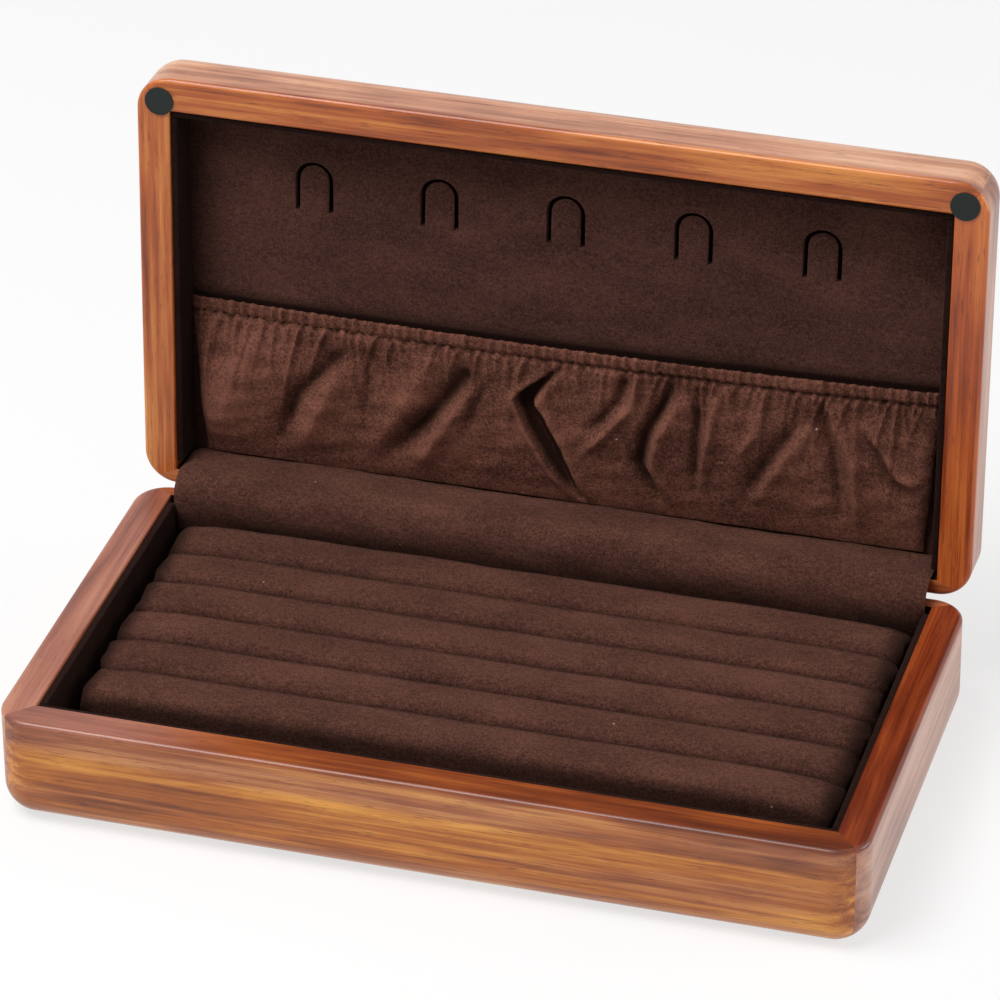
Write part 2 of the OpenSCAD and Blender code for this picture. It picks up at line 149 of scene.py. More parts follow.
class Finish:
    """One material, built node by node."""

    def __init__(self, name):
        self.material = bpy.data.materials.new(name)
        self.material.use_nodes = True
        self.tree = self.material.node_tree
        self.tree.nodes.clear()
        self.place = self.node("ShaderNodeTexCoord", output="Object")

    def node(self, kind, settings=None, inputs=None, output=0):
        """Adds a node with these settings and inputs, by name or in order, and gives one output."""
        made = self.tree.nodes.new(kind)
        for name, value in (settings or {}).items():
            if name == "stops":
                while len(made.color_ramp.elements) < len(value):
                    made.color_ramp.elements.new(0.5)
                for element, (position, colour) in zip(made.color_ramp.elements, value):
                    element.position = position
                    element.color = colour
            else:
                setattr(made, name, value)
        inputs = inputs or {}
        pairs = inputs.items() if isinstance(inputs, dict) else enumerate(inputs)
        for name, value in pairs:
            if isinstance(value, Term):
                self.tree.links.new(value.socket, made.inputs[name])
            else:
                made.inputs[name].default_value = value
        return Term(self, made.outputs[output])

    def stretched(self, size, turn=(0, 0, 0), shift=(0, 0, 0)):
        """Object coordinates turned to the pattern's own axes and measured in steps of size, in mm."""
        inputs = {
            "Vector": self.place,
            "Location": [c * MM for c in shift],
            "Rotation": turn,
            "Scale": [c * MM for c in size],
        }
        return self.node("ShaderNodeMapping", {"vector_type": "TEXTURE"}, inputs)

    def noise(self, size, turn=(0, 0, 0), shift=(0, 0, 0), detail=2.0, roughness=0.5):
        """Noise from 0 to 1 whose features are about size, in mm."""
        inputs = {"Scale": 1.0, "Detail": detail, "Roughness": roughness}
        inputs["Vector"] = self.stretched(size, turn, shift)
        return self.node("ShaderNodeTexNoise", None, inputs)

    def mix(self, factor, first, second):
        return self.node("ShaderNodeMix", {"data_type": "RGBA"}, {0: factor, 6: first, 7: second}, output=2)

    def ramp(self, value, shades, at=(0.0, 0.45, 1.0)):
        """A value from 0 to 1 as a colour between the given shades."""
        return self.node("ShaderNodeValToRGB", {"stops": list(zip(at, shades))}, {0: value})

    def along(self, direction):
        """How far the surface lies along a direction, in mm."""
        reach = {0: self.place, 1: direction}
        return self.node("ShaderNodeVectorMath", {"operation": "DOT_PRODUCT"}, reach, output=1) / MM

    def shade(self, height=None, relief=0.0, depth=0.0, **inputs):
        """Ends the material in a Principled shader, with a bump of the given height."""
        inputs = {name.replace("_", " "): value for name, value in inputs.items()}
        if height is not None:
            bump = {"Strength": relief, "Distance": depth * MM, "Height": height}
            inputs["Normal"] = self.node("ShaderNodeBump", None, bump)
        shader = self.node("ShaderNodeBsdfPrincipled", None, inputs)
        end = self.tree.nodes.new("ShaderNodeOutputMaterial")
        self.tree.links.new(shader.socket, end.inputs["Surface"])
        return self.material


def grain_turn(along, out):
    """Turn that lays a pattern's X along the grain and its Z along the board's outer normal."""
    along, out = Vector(along), Vector(out)
    across = out.cross(along)
    return Matrix((along, across, out)).transposed().to_euler()


# Depths, in mm, between which a rim's shades give way to the face's: at a rail's rim, on an inner face.
RIM_BAND, INNER_FACE = (0.5, 2.0), (0.02, 0.08)


def varnished_wood(name, along, out, face, rim, rim_plane, seed, rim_band=RIM_BAND, left_rim=None):
    """Straight-grained board under a thick glossy varnish, in other shades on its rim than on its face.

    The rim's shades start at rim_plane and give way to the face's between the two depths of rim_band.
    With a left_rim they fade into those shades at the board's left end.
    """
    finish = Finish(name)
    turn = grain_turn(along, out)
    shift = (37.0 * seed, 11.0 * seed, 5.0 * seed)
    drift = finish.noise((120, 14, 14), turn, shift)
    waver = finish.noise((30, 5, 5), turn, shift)
    split = finish.tree.nodes.new("ShaderNodeSeparateXYZ")
    finish.tree.links.new(finish.stretched((1, 1, 1), turn, shift).socket, split.inputs[0])
    across, deep = Term(finish, split.outputs["Y"]), Term(finish, split.outputs["Z"])
    rings = (across + deep * 0.55) / 4.2 + drift * 4.0 + waver * 1.1
    late = (rings.math("FRACT") - 0.5).math("ABSOLUTE") * 2
    figure = (rings * (4 * math.pi / 3)).math("SINE")
    streak = finish.noise((65, 2.0, 2.0), turn, shift, detail=3, roughness=0.55)
    thread = finish.noise((22, 0.5, 0.5), turn, shift, detail=3, roughness=0.65)
    cloud = finish.noise((60, 14, 14), turn, shift)
    value = late * 0.18 + figure * 0.06 + streak.swing(1.3) + thread.swing(0.75) + cloud.swing(1.5) + 0.43
    inwards, plane = rim_plane
    depth = finish.along(inwards) - plane
    blush = finish.noise((90, 6, 6), turn, (shift[0], shift[1] + 90, shift[2])).between(0.42, 0.66)
    blush = blush * 0.45 + (1 - (depth + cloud * 8).between(8, 15)) * 0.4
    colour = finish.mix(blush, finish.ramp(value, face), finish.ramp(value, BLUSH))
    on_rim = 1 - depth.between(*rim_band)
    rim_colour = finish.ramp(value, rim)
    # Painted reflection: towards its left end the rim turns to paler shades.
    if left_rim:
        left_end = 1 - finish.along(X).between(-100, -50)
        rim_colour = finish.mix(left_end, rim_colour, finish.ramp(value, left_rim))
    colour = finish.mix(on_rim, colour, rim_colour)
    pores = finish.noise((4.5, 0.24, 0.24), turn, shift, detail=1).between(0.6, 0.72)
    pores = pores * finish.noise((16, 2.5, 2.5), turn, shift).between(0.4, 0.58)
    colour = finish.mix(pores * 0.62, colour, tone(66, 26, 10))
    wavy = thread * 0.4 - pores * 0.5
    rough = 0.4 + streak * 0.14
    # Inner faces with the painted shade over the lining get no varnish.
    varnish = 1 - on_rim if rim is LINED_IN_SHADE else 1.0
    return finish.shade(
        Base_Color=colour, Roughness=rough, Specular_IOR_Level=0.0, IOR=1.5,
        Coat_Weight=varnish, Coat_Roughness=0.3, Coat_IOR=1.5, height=wavy, relief=0.12, depth=0.12,
    )


def suede(name, colour, seed, contrast=0.5, painted_shades=(), folded=False):
    """Short brushed nap: fine flecks, brushed patches and specks of lint, with painted shade along given
    lines.

    Each painted shade is a function that gives the distance from its line in mm, the distances where it
    starts to fade and is gone, and how dark it is. A folded cloth also has painted shade in its hollows and
    a painted highlight on its ridges, which its points' fold attribute marks.
    """
    finish = Finish(name)
    shift = (13.0 * seed, 29.0 * seed, 7.0 * seed)
    nap = finish.noise((0.6, 0.6, 0.6), shift=shift, detail=4, roughness=0.75)
    fleck = finish.noise((1.7, 1.3, 1.3), shift=shift, detail=3, roughness=0.7)
    brushed = finish.noise((24, 12, 12), shift=shift, detail=2)
    value = nap.swing(1.9) + fleck.swing(0.8) + brushed.swing(0.6) + 0.5
    # Painted light and shade: a folded cloth lighter on its ridges and darker in its hollows.
    if folded:
        fold = finish.node("ShaderNodeAttribute", {"attribute_name": "fold"}, output=2)
        value = value + fold.swing(0.9)
    shades = [[c * share for c in colour[:3]] + [1] for share in (1 - contrast, 1.0, 1 + 1.3 * contrast)]
    base = finish.ramp(value, shades, (0.2, 0.5, 0.85))
    shadow = [c * 0.12 for c in colour[:3]] + [1]
    # Painted shade, deepest in the folds' hollows.
    if folded:
        base = finish.mix((1 - fold.between(0.0, 0.4)) * 0.85, base, shadow)
    # Painted shade along each line, darkest at the line.
    for distance, near, far, share in painted_shades:
        away = (distance(finish) + (nap - 0.5) * 0.8).math("ABSOLUTE")
        base = finish.mix((1 - away.between(near, far)) * share, base, shadow)
    cells = {"Vector": finish.stretched((14, 14, 14), shift=shift), "Scale": 1.0, "Randomness": 1.0}
    lint = 1 - finish.node("ShaderNodeTexVoronoi", None, cells).between(0.012, 0.026)
    base = finish.mix(lint * 0.7, base, tone(215, 195, 180))
    return finish.shade(
        Base_Color=base, Roughness=1.0, Specular_IOR_Level=0.06, Sheen_Weight=0.08, Sheen_Roughness=0.5,
        Sheen_Tint=tone(196, 150, 130), height=nap + fleck * 0.8, relief=0.9, depth=0.5,
    )


def satin_brass(name):
    finish = Finish(name)
    brushed = finish.noise((2.5, 0.12, 0.12), detail=2)
    tarnish = finish.noise((3, 3, 3), detail=3).between(0.45, 0.75)
    colour = finish.mix(tarnish * 0.5, tone(214, 178, 106), tone(150, 108, 58))
    rough = 0.26 + brushed * 0.16 + tarnish * 0.12
    return finish.shade(
        Base_Color=colour, Metallic=1.0, Roughness=rough, height=brushed, relief=0.2, depth=0.02,
    )


def bumper_pad(name):
    finish = Finish(name)
    grit = finish.noise((0.5, 0.5, 0.5), detail=3)
    colour = finish.mix(grit, tone(17, 22, 21), tone(38, 45, 43))
    return finish.shade(
        Base_Color=colour, Roughness=0.72, Specular_IOR_Level=0.3, height=grit, relief=0.3, depth=0.08,
    )


def thread(name):
    finish = Finish(name)
    twist = finish.noise((0.25, 0.25, 0.25), detail=2)
    colour = finish.mix(twist, tone(26, 13, 10), tone(50, 28, 22))
    return finish.shade(
        Base_Color=colour, Roughness=0.95, Specular_IOR_Level=0.05, height=twist, relief=0.3, depth=0.05,
    )


# Dark, middle and light shades of the grain; some of them also hold painted light, as noted beside them.
GOLDEN = tone(110, 50, 14), tone(178, 99, 34), tone(232, 160, 66)
ORANGE = tone(108, 42, 12), tone(174, 86, 32), tone(218, 138, 64)
# The wood's tone with a painted reflection of the white surroundings, for the left rims.
MAUVE_WITH_REFLECTION = tone(112, 56, 42), tone(152, 88, 66), tone(182, 120, 94)
# The wood's tone with a painted reflection of the white surroundings, for the open lid's upward face.
PALE_WITH_REFLECTION = tone(150, 92, 64), tone(202, 142, 106), tone(230, 182, 146)
# The wood's tone with a painted reflection of the white surroundings, for the right outer sides.
PINKISH_WITH_REFLECTION = tone(122, 78, 62), tone(164, 116, 96), tone(194, 148, 126)
RUST = tone(98, 32, 10), tone(172, 78, 30), tone(210, 118, 54)
RED = tone(66, 22, 7), tone(122, 54, 19), tone(172, 92, 38)
DEEP_RED = tone(54, 15, 6), tone(108, 39, 14), tone(154, 70, 30)
# Near-black painted shade over the lining, for inner faces that show only past the lining.
LINED_IN_SHADE = tone(14, 8, 7), tone(20, 12, 10), tone(26, 16, 13)
BLUSH = tone(96, 46, 30), tone(156, 90, 62), tone(198, 136, 102)

X, Y, Z = (1, 0, 0), (0, 1, 0), (0, 0, 1)
mating_depth = float(np.dot(on_lid(0, 0, 0), lid_in))
lid_rise = float(np.dot(on_lid(0, 0, 0), lid_up))

# Planes of rims and inner faces: a direction into the wood and how far along it, in mm, the plane lies.
base_rim = ((0, 0, -1), -rim_z)
lid_rim = (lid_in, mating_depth)
lid_top_inside = (lid_in, mating_depth + LID_CAVITY)
lid_back_inside = (-lid_up, -lid_rise - BACK_RAIL)
base_back_inside = (Y, half_depth - BACK_RAIL)

# What varnished_wood is told of each board, after its name.
BOARDS = {
    # The front rail's rim fades into mauve with a painted reflection at its left end.
    "base_front_rail": (X, (0, -1, 0), GOLDEN, RED, base_rim, 1.0, RIM_BAND, MAUVE_WITH_REFLECTION),
    "base_back_rail": (X, Y, ORANGE, LINED_IN_SHADE, base_back_inside, 2.0, INNER_FACE),
    "base_left_rail": (Y, (-1, 0, 0), GOLDEN, MAUVE_WITH_REFLECTION, base_rim, 3.0),
    "base_right_rail": (Y, X, PINKISH_WITH_REFLECTION, DEEP_RED, base_rim, 4.0),
    "base_bottom": (X, (0, 0, -1), ORANGE, ORANGE, base_rim, 5.0),
    "lid_front_rail": (X, lid_up, PALE_WITH_REFLECTION, ORANGE, lid_rim, 6.0),
    "lid_back_rail": (X, -lid_up, ORANGE, LINED_IN_SHADE, lid_back_inside, 7.0, INNER_FACE),
    "lid_left_rail": (lid_up, (-1, 0, 0), GOLDEN, ORANGE, lid_rim, 8.0),
    "lid_right_rail": (lid_up, X, PINKISH_WITH_REFLECTION, RUST, lid_rim, 9.0),
    "lid_top": (X, lid_in, ORANGE, LINED_IN_SHADE, lid_top_inside, 10.0, INNER_FACE),
}

rolls_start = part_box("ring_roll_6")[0].y / MM
roll_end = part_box("ring_roll_6")[1].x / MM
board_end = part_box("lid_board")[0].x / MM
cover_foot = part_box("ring_roll_1")[1].z / MM - 1

# The painted shade between two rolls is centred a little in front of the line where they meet.
ROLL_PITCH, GROOVE_SHIFT = 16.0, 1.5

# The pocket's mouth: half its width, its height in its middle, its climb to the right and its sag.
HALF_MOUTH, HEM_TOP, HEM_CLIMB, HEM_SAG = 112.0, 59.0, 0.9, 1.7


def between_rolls(finish):
    """Distance from the nearest groove between two rolls."""
    across = (finish.along(Y) - rolls_start + GROOVE_SHIFT) / ROLL_PITCH
    return (0.5 - (across.math("FRACT") - 0.5).math("ABSOLUTE")) * ROLL_PITCH


def from_roll_end(finish):
    return roll_end - finish.along(X).math("ABSOLUTE")


def above_hem(finish):
    """How far the lid's board lies above the pocket's sagging mouth."""
    across = finish.along(X) / HALF_MOUTH
    above = finish.along(lid_up) - lid_rise - HEM_TOP
    return above - across * HEM_CLIMB + (1 - across * across) * HEM_SAG


def from_board_end(finish):
    return finish.along(X) - board_end


def above_cover_foot(finish):
    return finish.along(Z) - cover_foot


# Painted shade on the rolls: in the grooves between them and at their tucked ends.
ROLL_PAINTED_SHADE = [
    (between_rolls, 0.4, 3.2, 0.72),
    (between_rolls, 0.2, 1.5, 0.6),
    (from_roll_end, 1.5, 8.0, 0.9),
]
# Painted shadow on the lid's board: a line above the pocket's hem and a band along its left end.
BOARD_PAINTED_SHADE = [
    (above_hem, 0.3, 5.0, 0.6),
    (above_hem, 0.4, 1.6, 0.9),
    (from_board_end, 0.0, 16.0, 0.5),
]
# Painted shade low on the hinge cover, near the first roll's top.
COVER_PAINTED_SHADE = [(above_cover_foot, 0.0, 5.0, 0.4)]
LINING = suede("lining_suede", tone(80, 51, 43), 1.0)
BOARD_SUEDE = suede("board_suede", tone(78, 50, 43), 1.5, painted_shades=BOARD_PAINTED_SHADE)
# The side liners' suede: the lining's suede darkened with painted shade.
SHADED_SIDE_LINING = suede("shaded_side_lining_suede", tone(32, 18, 16), 2.0)
ROLL_SUEDE = suede("roll_suede", tone(86, 55, 46), 3.0, painted_shades=ROLL_PAINTED_SHADE)
COVER_SUEDE = suede("cover_suede", tone(87, 56, 47), 4.0, painted_shades=COVER_PAINTED_SHADE)
POCKET_SUEDE = suede("pocket_suede", tone(106, 67, 55), 5.0, contrast=0.6, folded=True)
BRASS = satin_brass("satin_brass")
PAD = bumper_pad("bumper_pad")
THREAD = thread("dark_thread")


def lone(obj):
    """Leaves obj as the only selected and active object."""
    bpy.ops.object.select_all(action="DESELECT")
    obj.select_set(True)
    bpy.context.view_layer.objects.active = obj
    return obj


def added(name):
    """Names the primitive that was just added and puts its place into its mesh."""
    obj = lone(bpy.context.object)
    obj.name = obj.data.name = name
    bpy.ops.object.transform_apply(location=True, rotation=True, scale=True)
    return obj


def modified(obj, kind, **settings):
    """Gives obj a modifier with these settings and applies it."""
    lone(obj)
    modifier = obj.modifiers.new(kind.lower(), kind)
    for name, value in settings.items():
        setattr(modifier, name, value)
    bpy.ops.object.modifier_apply(modifier=modifier.name)


def points(obj):
    """A mesh's points, in mm."""
    found = np.empty(len(obj.data.vertices) * 3, np.float32)
    obj.data.vertices.foreach_get("co", found)
    return found.reshape(-1, 3) / MM


def place_points(obj, placed):
    """Sets a mesh's points, in mm."""
    obj.data.vertices.foreach_set("co", (np.asarray(placed, np.float32) * MM).ravel())
    obj.data.update()


def unit_grid(name, columns, rows):
    """A flat grid, with the places of its points across it and along it, from -1 to 1."""
    bpy.ops.mesh.primitive_grid_add(x_subdivisions=columns, y_subdivisions=rows, size=2)
    flat = added(name)
    grid = points(flat) * MM
    return flat, grid[:, 0], grid[:, 1]


def outwards(obj):
    """Turns every face of a closed piece outwards."""
    lone(obj)
    bpy.ops.object.mode_set(mode="EDIT")
    bpy.ops.mesh.select_all(action="SELECT")
    bpy.ops.mesh.normals_make_consistent(inside=False)
    bpy.ops.object.mode_set(mode="OBJECT")


def dress(obj, finish, angle=50):
    """Gives obj its finish, smooth but for edges sharper than the angle, in degrees."""
    obj.data.materials.clear()
    obj.data.materials.append(finish)
    lone(obj)
    bpy.ops.object.shade_smooth_by_angle(angle=math.radians(angle))


def soft_wave(grid, size, seed):
    """Smooth unevenness between -1 and 1, with features of about size, at points in mm."""
    random = np.random.default_rng(seed)
    total = np.zeros(len(grid))
    for _ in range(9):
        direction = random.normal(size=grid.shape[1])
        direction /= np.linalg.norm(direction)
        turn = 2 * math.pi / (size * random.uniform(0.8, 2.4))
        total += np.sin(grid @ direction * turn + random.uniform(0, 2 * math.pi))
    return total / 3


def covered_board(node, body, finish, radius):
    """Stands a softened, suede-covered copy in for a sharp-edged board."""
    board = frame["nodes"][node].copy()
    board.data = board.data.copy()
    board.name = board.data.name = node + "_covered"
    board.parent = None
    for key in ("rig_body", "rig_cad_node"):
        del board[key]
    bpy.context.scene.collection.objects.link(board)
    modified(board, "WELD", merge_threshold=0.01 * MM)
    modified(board, "DECIMATE", decimate_type="DISSOLVE", angle_limit=math.radians(0.5))
    modified(board, "BEVEL", width=radius * MM, segments=3, angle_limit=math.radians(40))
    dress(board, finish, 60)
    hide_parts(node)
    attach(board, body)


def ring_roll(index, seed):
    """Foam roll under tightly drawn suede, tucked in at its ends."""
    node = f"ring_roll_{index}"
    low, high = (np.array(corner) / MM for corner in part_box(node))
    size = high - low - (0.4, 0.1, 0.0)
    centre = (low + high) / 2
    shoulder, crown, tucked = 3.6, 0.45, 3.0
    bpy.ops.mesh.primitive_cube_add(size=1, location=centre * MM, scale=size * MM)
    roll = added(node + "_foam")
    bpy.ops.object.mode_set(mode="EDIT")
    bpy.ops.mesh.select_mode(type="EDGE")
    bpy.ops.mesh.select_all(action="DESELECT")
    bpy.ops.object.mode_set(mode="OBJECT")
    for edge in roll.data.edges:
        ends = [roll.data.vertices[v].co / MM for v in edge.vertices]
        on_top = min(end.z for end in ends) > high[2] - 0.1
        edge.select = bool(on_top and abs(ends[0].x - ends[1].x) > 1)
    bpy.ops.object.mode_set(mode="EDIT")
    bpy.ops.mesh.bevel(offset=shoulder * MM, segments=8, profile=0.5, affect="EDGES")
    bpy.ops.object.mode_set(mode="OBJECT")
    modified(roll, "REMESH", mode="VOXEL", voxel_size=1.25 * MM)
    modified(roll, "SMOOTH", factor=0.5, iterations=6)
    at = points(roll)
    from_end = size[0] / 2 - abs(at[:, 0] - centre[0])
    up = np.clip((at[:, 2] - low[2]) / (high[2] - low[2]), 0, 1)
    tuck = np.exp(-np.clip(from_end, 0, None) / 6)
    at[:, 2] -= up * crown * ((at[:, 1] - centre[1]) / (size[1] / 2)) ** 2
    at[:, 2] -= tuck * up * (tucked + 0.6 * soft_wave(at, 6, seed))
    at[:, 2] += up * (0.08 * soft_wave(at[:, :1], 38, seed + 1) + 0.08 * soft_wave(at, 9, seed + 2))
    at[:, 1] += up * 0.05 * soft_wave(at[:, :1], 16, seed + 3)
    at[:, 0] -= np.sign(at[:, 0] - centre[0]) * tuck * 0.5 * (1 + soft_wave(at, 5, seed + 4))
    place_points(roll, np.clip(at, low, high))
    dress(roll, ROLL_SUEDE, 70)
    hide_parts(node)
    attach(roll, "base")


def hinge_cover():
    """Padded strip bent over the hinges."""
    low, high = (np.array(corner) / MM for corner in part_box("hinge_cover"))
    outer = hinge_y - low[1]
    leg = hinge_z - low[2]
    lid_leg = BOARD_DEPTH + lid_gap / 2 - 0.3
    arc = outer * open_angle
    strip, across, up = unit_grid("hinge_cover_strip", columns=260, rows=64)
    half = (high[0] - low[0]) / 2 - 1.2
    walked = (up + 1) / 2 * (leg + arc + lid_leg)
    bent = np.clip((walked - leg) / arc, 0, 1) * open_angle
    into_leg = leg - np.minimum(walked, leg)
    into_lid = np.maximum(walked - leg - arc, 0)
    edge = np.minimum(walked, leg + arc + lid_leg - walked)
    side = half * (1 - abs(across))
    puff = 0.25 * soft_wave(np.stack([across * half, walked], 1), 26, 5)
    puff += 0.12 * soft_wave(np.stack([across * half, walked], 1), 8, 6)
    rolled = 1.1 * np.sin(np.clip(walked / (leg + arc), 0, 1) * math.pi) - 0.014 * into_leg ** 2
    reach = outer + rolled + puff - 1.3 * np.exp(-side / 1.6) - 0.6 * np.exp(-edge / 1.5)
    y = hinge_y - reach * np.cos(bent) + into_lid * math.sin(open_angle)
    z = hinge_z + reach * np.sin(bent) + into_lid * math.cos(open_angle) - into_leg
    x = across * half
    place_points(strip, np.stack([x, y, z], 1))
    modified(strip, "SOLIDIFY", thickness=1.5 * MM, offset=-1.0)
    outwards(strip)
    dress(strip, COVER_SUEDE, 60)
    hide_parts("hinge_cover")
    start = (0, (hinge_y - outer) * MM, hinge_z * MM)
    end_y = hinge_y - outer * math.cos(open_angle)
    end_z = hinge_z + outer * math.sin(open_angle)
    end_y * MM
    end_z * MM
    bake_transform(strip)


# Heights on the lid of the pocket's foot and stitches, the hem's width and the stitches' lift.
POCKET_FOOT, STITCH_LINE, HEM, VALLEY = 7.6, 54.9, 3.3, 1.4

# The deep fold's line, as (x, s) on the lid.
TUCK_LINE = [(0, 53), (-6, 47), (-11.6, 42.5), (-12.9, 40.5), (-12.2, 38), (-9.4, 31), (-3, 20), (6, 8)]

# The other folds: height in mm, half width in mm, and the line of each.
FOLDS = [
    (2.4, 9.0, [(-90, 50), (-95, 40), (-103, 24), (-106, 10)]),
    (-3.0, 2.7, [(-65, 47), (-72, 40), (-80, 31), (-87, 10)]),
    (2.0, 4.0, [(-64, 43), (-69, 36), (-76, 20), (-79, 10)]),
    (-1.2, 1.8, [(-58, 51), (-58, 39), (-59, 26)]),
    (1.8, 4.5, [(-37, 52), (-41, 45), (-48, 31), (-58, 15)]),
    (-3.4, 2.8, [(-27, 47), (-30, 42), (-39, 30), (-53, 14)]),
    (2.2, 3.6, [(-26, 43), (-30, 36), (-39, 20), (-45, 10)]),
    (-1.5, 1.8, [(-22, 43), (-25, 37), (-28, 27)]),
    (2.0, 1.6, [(23, 53), (21, 42), (12, 31), (6, 24)]),
    (-1.9, 1.9, [(20, 52), (17, 43), (9, 32)]),
    (-3.6, 1.9, [(34, 52), (26, 34), (24, 24), (32, 10)]),
    (2.0, 2.2, [(37, 48), (29, 33), (28, 23), (35, 11)]),
    (-2.2, 1.5, [(41, 49), (41, 32), (41, 17)]),
    (1.9, 1.7, [(48, 54), (45, 38), (42, 18)]),
    (1.5, 1.7, [(60, 53), (58, 39), (53, 31)]),
    (-2.6, 3.0, [(71, 44), (63, 32), (54, 16)]),
    (1.9, 2.4, [(74, 43), (66, 31), (58, 16)]),
    (2.0, 1.7, [(79, 55), (82, 45), (88, 35), (90, 10)]),
    (-1.9, 1.9, [(76, 54), (81, 38), (85, 14)]),
    (2.1, 1.7, [(90, 48), (101, 32), (108, 30)]),
    (-2.1, 2.1, [(91, 44), (99, 30), (105, 24)]),
]


def near_line(x, s, line):
    """Distance of points from a line, less than 0 on its left going down, and how far along they are."""
    nearest = np.full_like(x, 1e9)
    side, here = np.zeros_like(x), np.zeros_like(x)
    for number, (start, end) in enumerate(zip(line, line[1:])):
        run = np.array(end, float) - np.array(start, float)
        off_x, off_s = x - start[0], s - start[1]
        along = np.clip((off_x * run[0] + off_s * run[1]) / (run @ run), 0, 1)
        gap = np.hypot(off_x - along * run[0], off_s - along * run[1])
        closer = gap < nearest
        side = np.where(closer, np.sign(off_s * run[0] - off_x * run[1]), side)
        here = np.where(closer, (number + along) / (len(line) - 1), here)
        nearest = np.minimum(nearest, gap)
    return nearest * side, here


def ease_in(value, low, high):
    """0 below low, 1 above high, smooth between."""
    part = np.clip((value - low) / (high - low), 0, 1)
    return part * part * (3 - 2 * part)


def fold_lift(x, s):
    """Sum of the folds, each a rounded valley or ridge along its line that fades at its ends."""
    total = np.zeros_like(x)
    for height, width, line in FOLDS:
        gap, here = near_line(x, s, line)
        fade = np.minimum(1, 4 * np.minimum(here + 0.08, 1.02 - here))
        total += height * fade * np.exp(-((abs(gap) / width) ** 1.6))
    return total


def tuck_lift(x, s):
    """The one deep fold: a crisp lip on its left, a dark hollow under it and a soft ridge beyond."""
    gap = near_line(x, s, TUCK_LINE)[0]
    fallen = (TUCK_LINE[0][1] - s) / (TUCK_LINE[0][1] - TUCK_LINE[-1][1])
    wide = 0.8 + 4.0 * ease_in(fallen, 0.14, 0.42) * (1 - ease_in(fallen, 0.55, 1.0))
    fade = ease_in(fallen, 0.0, 0.28) * (1 - ease_in(fallen, 0.96, 1.0))
    lip = 1.7 * np.exp(-(((gap + 1.1) / 1.5) ** 2))
    hollow = -6.5 * ease_in(gap, -0.5, 0.5) * (1 - ease_in(gap, wide, wide + 2.0))
    crest = 3.8 * np.exp(-(((gap - 0.62 * wide) / 0.55) ** 2)) * ease_in(fallen, 0.3, 0.5)
    ridge = 1.8 * np.exp(-(((gap - wide - 2.4) / 1.5) ** 2))
    return fade * (lip + hollow + crest + ridge)


def gathers(x, s_below, seed=11):
    """Small drawn-up pleats that start at the stitching and fade out below it."""
    random = np.random.default_rng(seed)
    total = np.zeros_like(x)
    at = -HALF_MOUTH
    while at < HALF_MOUTH:
        reach = random.choice([2.5, 4, 6, 9, 13])
        lean = random.uniform(-0.3, 0.3)
        width = random.uniform(0.6, 1.1)
        height = random.uniform(0.9, 2.3)
        total += height * np.exp(-(((x - at - lean * s_below) / width) ** 2)) * np.exp(-s_below / reach)
        at += random.uniform(1.8, 3.6)
    return total


def mouth_shift(x):
    """The pocket's mouth climbs a little to the right and sags in its middle."""
    return HEM_CLIMB / HALF_MOUTH * x - HEM_SAG * (1 - (x / HALF_MOUTH) ** 2)


def hem_shape(part, x, ruffle):
    """The turned-over hem: up the front from the stitching, over the elastic and down behind it."""
    gap = 1.3 + 0.4 * np.clip(x / 60, -1, 1)
    front = np.clip(part / 0.5, 0, 1)
    over = np.clip((part - 0.5) / 0.22, 0, 1)
    down = np.clip((part - 0.72) / 0.28, 0, 1)
    s = STITCH_LINE + HEM * front + 0.6 * np.sin(math.pi * over) - 1.8 * down + 0.3 * ruffle * front
    raised = np.sin(np.clip(front / 0.4, 0, 1) * math.pi / 2)
    outer = VALLEY + 0.3 * ruffle + (gap + 0.9 + 0.2 * ruffle - VALLEY) * raised
    lift = outer + (gap - outer) * over + 0.1 * down
    return s, lift


